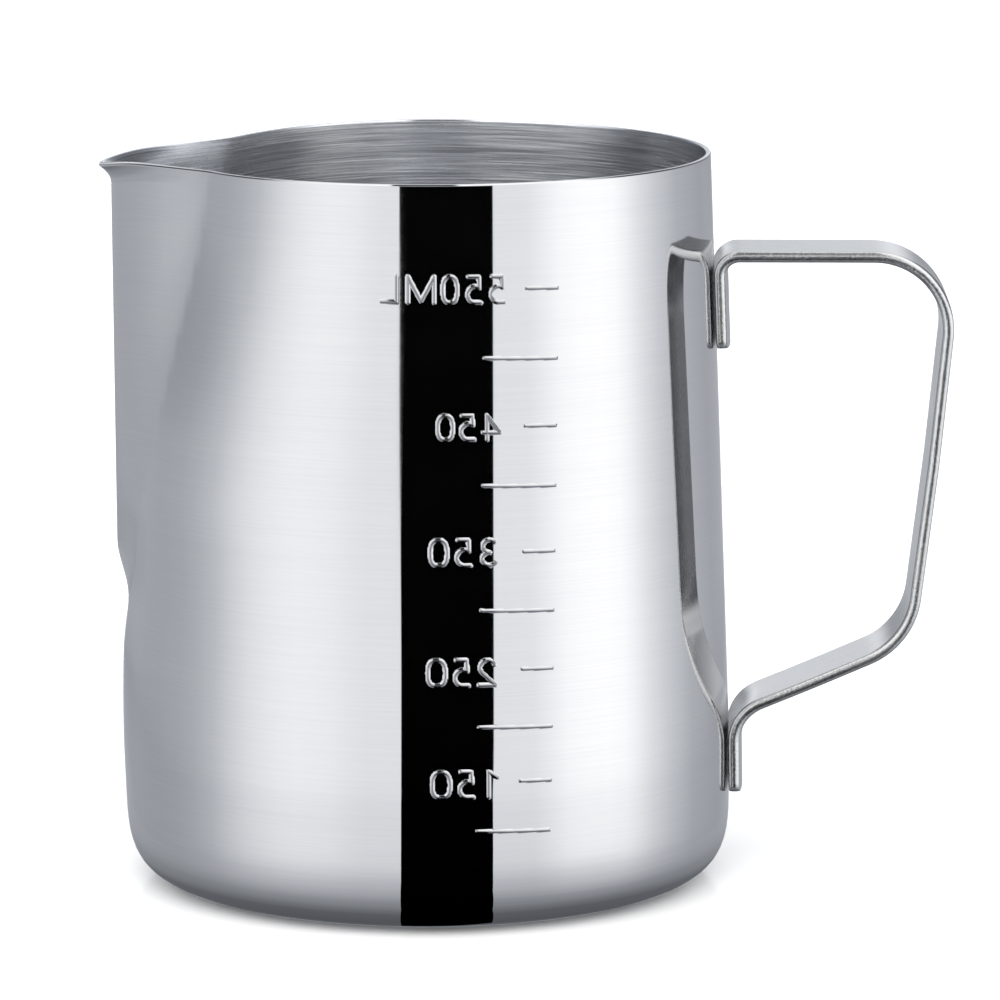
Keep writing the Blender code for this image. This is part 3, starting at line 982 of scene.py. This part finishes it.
def studio_world(studio):
    """Seen by the steel: white tents left and right that dim towards the back, a narrow black flag straight
    ahead, white overhead with a dark hatch, and a darker floor. Everything else gets a white light, stronger
    from the viewer's side."""
    world = bpy.data.worlds.new("plain studio")
    node = empty_tree(world)
    place = node("TexCoord").outputs["Generated"]
    turned = node("VectorRotate", settings={"rotation_type": "Z_AXIS"}, Vector=place, Angle=-studio.turn)
    # A ray less the line of sight points the way the wall that mirrors it faces
    sight = (0, math.cos(studio.rise), -math.sin(studio.rise))
    facing = node("VectorMath:SUBTRACT", turned, sight)
    part = node("SeparateXYZ", node("VectorMath:NORMALIZE", facing)).outputs
    azimuth = node("Math:ARCTAN2", part[0], node("Math:MULTIPLY", part[1], -1.0))
    tilt = node("Math:ARCSINE", part[2])

    def share(angle):
        """An angle from -90 to 90 degrees as 0 to 1."""
        return node("Math:ADD", node("Math:DIVIDE", angle, math.pi), 0.5)

    def mixed(factor, first, second):
        rest = node("Math:MULTIPLY", first, node("Math:SUBTRACT", 1.0, factor))
        return node("Math:ADD", rest, node("Math:MULTIPLY", second, factor))

    sideways, upright = share(azimuth), share(tilt)

    # The tents and the floor
    pull = node("Math:SUBTRACT", 1.0, node("ValToRGB", upright, stops=by_angle(TENT_PULL)))
    leftward = node("Math:MULTIPLY", node("Math:MINIMUM", azimuth, 0.0), pull)
    along = node("Math:ADD", node("Math:MAXIMUM", azimuth, 0.0), leftward)
    greys = [(degrees, rgb(code * 3)[0]) for degrees, code in TENTS]
    walls = node("ValToRGB", share(along), stops=by_angle(greys))
    even = node("ValToRGB", upright, stops=by_angle(FLOOR_EVEN))
    low = node("ValToRGB", upright, stops=by_angle(FLOOR_FALL))
    lit = node("Math:MULTIPLY", mixed(even, walls, FLOOR_GREY), low)

    # The flag. A ramp holds no value above 1, so the angles of its edges are held as a tenth and a twentieth.
    left = node("Math:DIVIDE", node("ValToRGB", upright, stops=by_angle(FLAG_LEFT, 0.1)), 0.1)
    right = node("Math:DIVIDE", node("ValToRGB", upright, stops=by_angle(FLAG_RIGHT, 0.05)), 0.05)
    past_left = node("Math:ADD", azimuth, node("Math:RADIANS", left))
    past_right = node("Math:SUBTRACT", node("Math:RADIANS", right), azimuth)
    past_left = node("Math:DIVIDE", past_left, FLAG_SOFTNESS)
    past_right = node("Math:DIVIDE", past_right, FLAG_SOFTNESS)
    within = node("Math:MAXIMUM", node("Math:MINIMUM", past_left, past_right), 0.0)
    within = node("Math:MINIMUM", within, 1.0)
    flag = node("Math:MULTIPLY", within, node("ValToRGB", upright, stops=by_angle(FLAG_REACH)))
    ground = node("Math:MULTIPLY", lit, node("Math:SUBTRACT", 1.0, flag))

    # Overhead
    crown = node("ValToRGB", sideways, stops=by_angle(CROWN))
    hatch_width = node("ValToRGB", sideways, stops=by_angle(HATCH_WIDTH))
    hatch_reach = node("ValToRGB", upright, stops=by_angle(HATCH_REACH))
    hatch = node("Math:MULTIPLY", hatch_width, hatch_reach)
    zenith = node("ValToRGB", upright, stops=by_angle(ZENITH))
    above = mixed(node("ValToRGB", upright, stops=by_angle(ZENITH_START)), crown, zenith)
    sky = node("Math:MULTIPLY", above, node("Math:SUBTRACT", 1.0, hatch))

    around = mixed(node("ValToRGB", upright, stops=by_angle(SKY_START)), ground, sky)
    size = node("VectorMath:LENGTH", facing).outputs["Value"]
    behind = node("MapRange", size, 0.1, 0.22, 1.0, 0.0)
    full = mixed(behind, around, BEHIND_GREY)
    cool = node("Math:SUBTRACT", 1.0, full)
    less_red = node("Math:SUBTRACT", 1.0, node("Math:MULTIPLY", cool, LESS_RED))
    more_blue = node("Math:ADD", 1.0, node("Math:MULTIPLY", cool, MORE_BLUE))
    red, blue = node("Math:MULTIPLY", full, less_red), node("Math:MULTIPLY", full, more_blue)
    colour = node("CombineColor", Red=red, Green=full, Blue=blue)
    steel_sees = node("Background", Color=colour, Strength=1 / studio.steel)

    front = node("Math:MULTIPLY", node("SeparateXYZ", place).outputs[1], -0.5)
    key = node("ValToRGB", node("Math:ADD", front, 0.5), stops=KEY)
    wash = node("Math:MULTIPLY", key, studio.wash)
    rest_sees = node("Background", Color=(1, 1, 1, 1), Strength=wash)
    seen = node("MixShader", node("LightPath").outputs["Is Glossy Ray"], rest_sees, steel_sees)
    node("OutputWorld", Surface=seen)
    return world


def flat_sheet(name, outline, material, drop):
    """A flat sheet with this outline, lying this far under the jug's foot."""
    mesh = bpy.data.meshes.new(name)
    mesh.from_pydata([(x, y, 0) for x, y in outline], [], [tuple(range(len(outline)))])
    mesh.materials.append(material)
    sheet = add_object(name, mesh)
    sheet.location.z = -drop
    return sheet


def only_for_reflections(obj):
    """Hides the object from everything but mirrored rays."""
    for flag in ("visible_camera", "visible_diffuse", "visible_shadow", "visible_transmission"):
        setattr(obj, flag, False)


class OBJECT_OT_jug_studio(bpy.types.Operator):
    """Build the floor, the light and the camera"""

    bl_idname = "object.jug_studio"
    bl_label = "Studio"

    def execute(self, context):
        scene = context.scene
        scene.world = studio_world(scene.jug_studio)
        scene.view_settings.view_transform = "Standard"
        square = [(x * FLOOR_SIZE, y * FLOOR_SIZE) for x, y in ((-1, -1), (1, -1), (1, 1), (-1, 1))]
        floor = flat_sheet("floor", square, floor_material(), FLOOR_DROP)
        floor.visible_glossy = False
        # Painted shade: a black sheet round the foot, seen only in the steel, stands in for the floor's
        # contact shadow
        turns = [2 * math.pi * k / SHADE_SHEET_SIDES for k in range(SHADE_SHEET_SIDES)]
        circle = [(SHADE_SHEET_RADIUS * math.cos(t), SHADE_SHEET_RADIUS * math.sin(t)) for t in turns]
        shade_sheet = flat_sheet("floor shade", circle, painted_shade_material(), SHADE_SHEET_DROP)
        outline = [(x * MM, y * MM) for x, y in CARD_OUTLINE]
        card = flat_sheet("floor flag", outline, card_material(), CARD_DROP)
        for sheet in (shade_sheet, card):
            only_for_reflections(sheet)
        lens = bpy.data.cameras.new("camera")
        lens.sensor_width = SENSOR
        lens.lens = LENS
        lens.clip_start, lens.clip_end = 0.01, 20
        camera = add_object("camera", lens)
        camera.location = CAMERA_PLACE
        camera.rotation_euler = [math.radians(turn) for turn in CAMERA_TURN]
        scene.camera = camera
        return {"FINISHED"}


# --- Panel


class VIEW3D_PT_jug(bpy.types.Panel):
    bl_label = "Milk Frothing Jug"
    bl_idname = "VIEW3D_PT_jug"
    bl_space_type = "VIEW_3D"
    bl_region_type = "UI"
    bl_category = "Jug"

    def draw(self, context):
        for settings, operator in (
            ("jug_body", OBJECT_OT_jug_body),
            ("jug_handle", OBJECT_OT_jug_handle),
            ("jug_studio", OBJECT_OT_jug_studio),
        ):
            box = self.layout.box()
            group = getattr(context.scene, settings)
            for name in group.__annotations__:
                box.prop(group, name)
            box.operator(operator.bl_idname)


CLASSES = (
    JugBodySettings,
    JugHandleSettings,
    JugStudioSettings,
    OBJECT_OT_jug_body,
    OBJECT_OT_jug_handle,
    OBJECT_OT_jug_studio,
    VIEW3D_PT_jug,
)


def register():
    for item in CLASSES:
        bpy.utils.register_class(item)
    bpy.types.Scene.jug_body = bpy.props.PointerProperty(type=JugBodySettings)
    bpy.types.Scene.jug_handle = bpy.props.PointerProperty(type=JugHandleSettings)
    bpy.types.Scene.jug_studio = bpy.props.PointerProperty(type=JugStudioSettings)


def unregister():
    for name in ("jug_body", "jug_handle", "jug_studio"):
        delattr(bpy.types.Scene, name)
    for item in reversed(CLASSES):
        bpy.utils.unregister_class(item)


def main():
    register()
    bpy.ops.object.jug_body()
    bpy.ops.object.jug_handle()
    bpy.ops.object.jug_studio()


if __name__ == "__main__":
    main()
